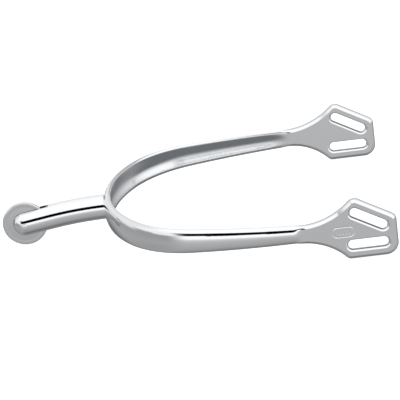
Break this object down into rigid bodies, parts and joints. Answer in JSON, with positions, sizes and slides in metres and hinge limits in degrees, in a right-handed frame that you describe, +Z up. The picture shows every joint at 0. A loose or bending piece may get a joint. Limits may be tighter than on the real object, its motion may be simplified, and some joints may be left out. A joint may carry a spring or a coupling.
{
  "type": "dressage spur with roller",
  "caption": "Polished steel dressage spur: U-shaped heel band with slotted strap plates and a down-curved forked neck holding a free-turning smooth roller.",
  "frame": {"origin": "middle of the spur's bounding box in plan, at the level it rests on (lower edges of the strap plates and bottom of the roller)", "axes": "+X towards the toe, along the arms; +Y to the wearer's left; +Z up. The neck and roller point to -X"},
  "size_m": [0.1322, 0.0922, 0.0211],
  "materials": {
    "polished_steel": "mirror-polished stainless steel with fine handling scratches",
    "satin_steel": "satin-turned stainless steel with faint concentric rings"
  },
  "bodies": {
    "spur": {"heel_band": "polished_steel", "neck": "polished_steel", "axle_pin": "polished_steel"},
    "wheel": {"roller": "satin_steel"}
  },
  "joints": [
    {"name": "roller_spin", "type": "hinge", "parent": "spur", "child": "wheel", "pos_m": [-0.05835, 0, 0.0077], "axis": [0, 1, 0], "continuous": true}
  ]
}
